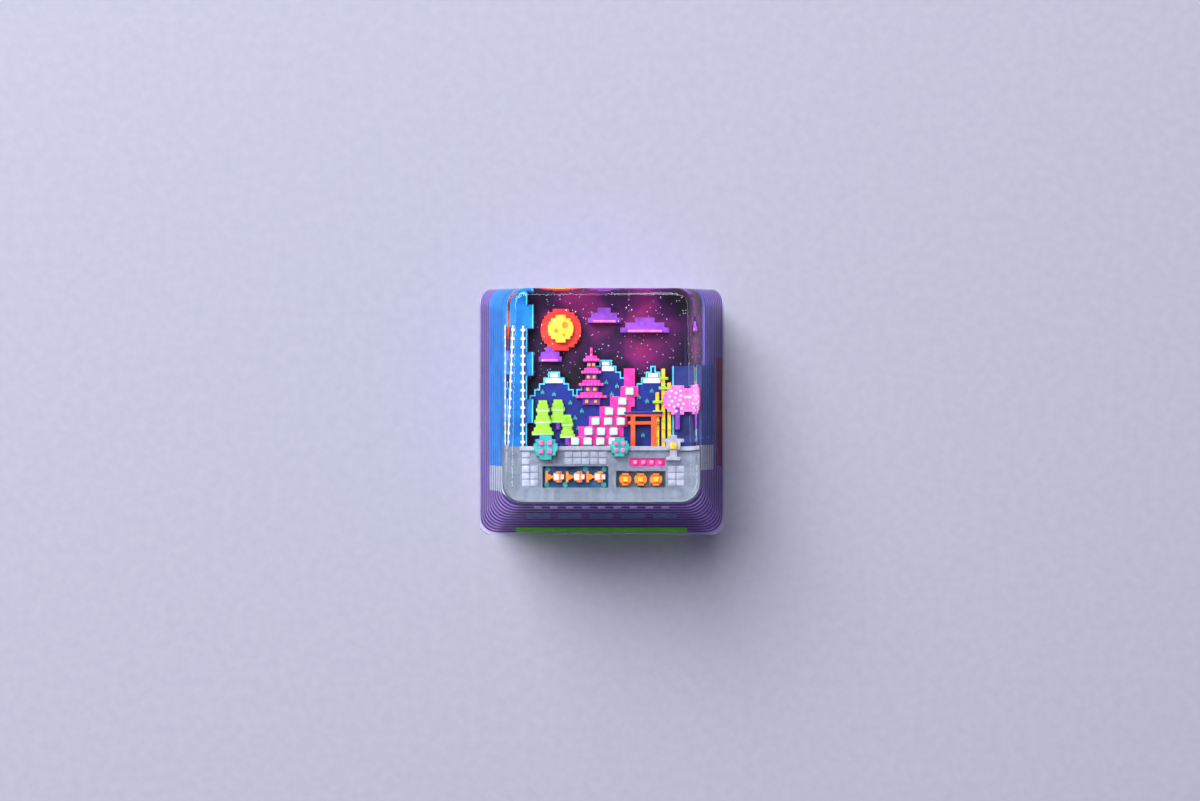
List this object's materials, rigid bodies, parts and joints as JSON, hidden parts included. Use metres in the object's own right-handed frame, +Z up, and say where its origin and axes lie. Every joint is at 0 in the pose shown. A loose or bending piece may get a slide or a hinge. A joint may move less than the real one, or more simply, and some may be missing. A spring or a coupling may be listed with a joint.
{
  "type": "artisan keycap",
  "caption": "One-unit keycap cast in clear resin around a stepped core, with a layered relief garden under its dished top and a cross socket in its hollow underside.",
  "frame": {"origin": "middle of the rim, on the plane that the keycap rests on", "axes": "+Z up through the stem post, +Y to the back (the high edge of the top), +X to the right"},
  "size_m": [0.0182, 0.0182, 0.0111],
  "materials": {
    "clear_resin": "clear gloss",
    "violet_resin": "cast gloss",
    "lime_resin": "cast gloss",
    "plum_resin": "cast gloss",
    "slate_resin": "cast gloss",
    "pale_violet_resin": "cast gloss",
    "grey_resin": "cast gloss",
    "blue_resin": "cast gloss",
    "indigo_resin": "cast gloss",
    "night_resin": "cast gloss",
    "navy_resin": "cast gloss",
    "cyan_resin": "cast gloss",
    "red_resin": "cast gloss",
    "yellow_resin": "cast gloss",
    "purple_resin": "cast gloss",
    "pink_resin": "cast gloss",
    "magenta_resin": "cast gloss",
    "mint_resin": "cast gloss",
    "leaf_green_resin": "cast gloss",
    "vermilion_resin": "cast gloss",
    "white_resin": "cast gloss",
    "pale_grey_resin": "cast gloss",
    "orange_resin": "cast gloss",
    "teal_resin": "cast gloss"
  },
  "bodies": {
    "root": {"bamboo_canes": "yellow_resin", "bamboo_leaves": "leaf_green_resin", "base_casting": "violet_resin", "bed_flowers": "pink_resin", "blossoms": "pink_resin", "cherry_crown": "pink_resin", "cherry_trunk": "purple_resin", "clear_casting": "clear_resin", "cliff_lines": "cyan_resin", "cloud_banks": "purple_resin", "cloud_edges": "pink_resin", "coping": "pale_grey_resin", "fence": "white_resin", "flower_bed": "magenta_resin", "gate": "vermilion_resin", "koi": "orange_resin", "lamp_glows": "yellow_resin", "lantern_flame": "yellow_resin", "left_cliff": "blue_resin", "lime_strip": "lime_resin", "moon_face": "yellow_resin", "moon_rim": "red_resin", "mountains": "navy_resin", "pagoda_roofs": "magenta_resin", "pagoda_walls": "purple_resin", "pagoda_windows": "yellow_resin", "pale_pegs": "pale_violet_resin", "paper_lamps": "orange_resin", "pine_crowns": "leaf_green_resin", "pine_trunks": "purple_resin", "plum_strip": "plum_resin", "pond_water": "slate_resin", "ridge_lines": "cyan_resin", "right_cliff": "indigo_resin", "river": "magenta_resin", "shrubs": "teal_resin", "sky_block": "night_resin", "slate_panels": "slate_resin", "stepping_stones": "mint_resin", "stone_lantern": "pale_grey_resin", "stone_terrace": "grey_resin"}
  },
  "joints": []
}
